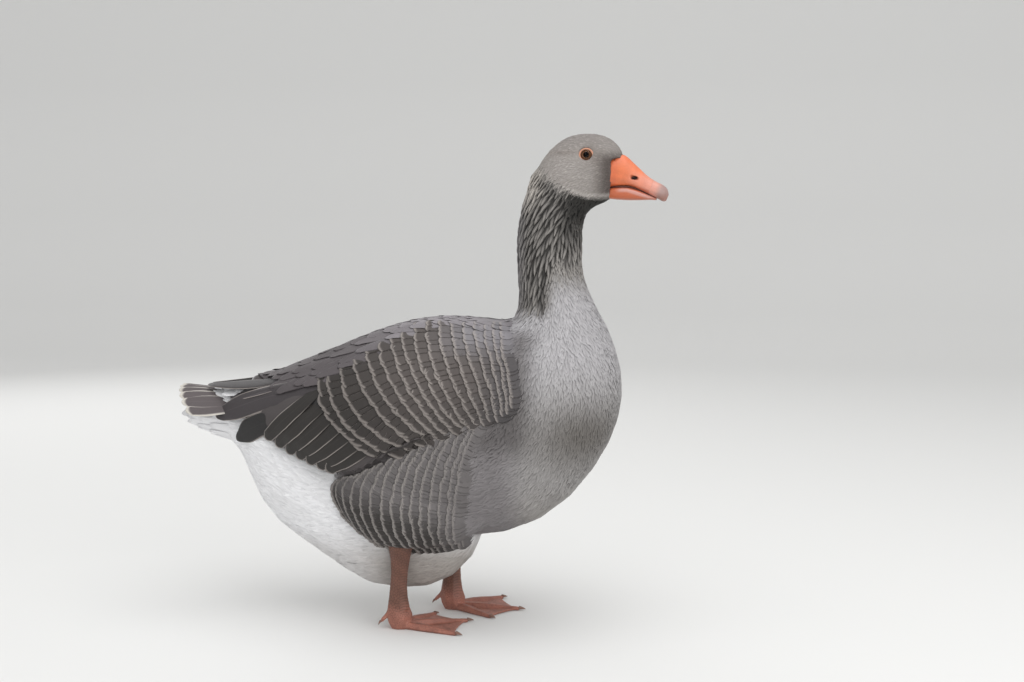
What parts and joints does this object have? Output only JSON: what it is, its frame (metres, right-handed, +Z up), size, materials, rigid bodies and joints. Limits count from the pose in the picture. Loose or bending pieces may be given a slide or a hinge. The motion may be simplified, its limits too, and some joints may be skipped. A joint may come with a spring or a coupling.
{
  "type": "domestic goose model",
  "caption": "Still, life-size grey farm goose standing with its neck raised, for display or as a prop.",
  "frame": {"origin": "middle of the bird's box on the floor it stands on", "axes": "+X forward along the bill, +Y to the bird's left, +Z up"},
  "size_m": [0.6456, 0.2666, 0.6298],
  "materials": {
    "plumage_head": "soft fine feathers, matt",
    "plumage_neck": "furrowed feathers, matt",
    "plumage_trunk": "soft feathers, matt",
    "plumage_white": "soft white feathers, matt",
    "plumage_wing": "firm feathers with pale edges, slight sheen",
    "plumage_tail": "firm feathers with pale edges, slight sheen",
    "bill": "waxy horn, satin",
    "nail": "pale horn, satin",
    "eye": "wet, glossy",
    "leg": "scaled skin, satin",
    "claw": "horn, satin"
  },
  "bodies": {
    "root": {"head": "plumage_head", "neck": "plumage_neck", "trunk": "plumage_trunk", "belly": "plumage_white", "wing_right": "plumage_wing", "wing_left": "plumage_wing", "bill_upper": "bill", "bill_nail": "nail", "bill_lower": "bill", "eye_right": "eye", "eye_left": "eye", "tail": "plumage_tail", "shank_right": "leg", "foot_right": "leg", "claw_right_inner": "claw", "claw_right_middle": "claw", "claw_right_outer": "claw", "claw_right_hind": "claw", "shank_left": "leg", "foot_left": "leg", "claw_left_inner": "claw", "claw_left_middle": "claw", "claw_left_outer": "claw", "claw_left_hind": "claw"}
  },
  "joints": []
}
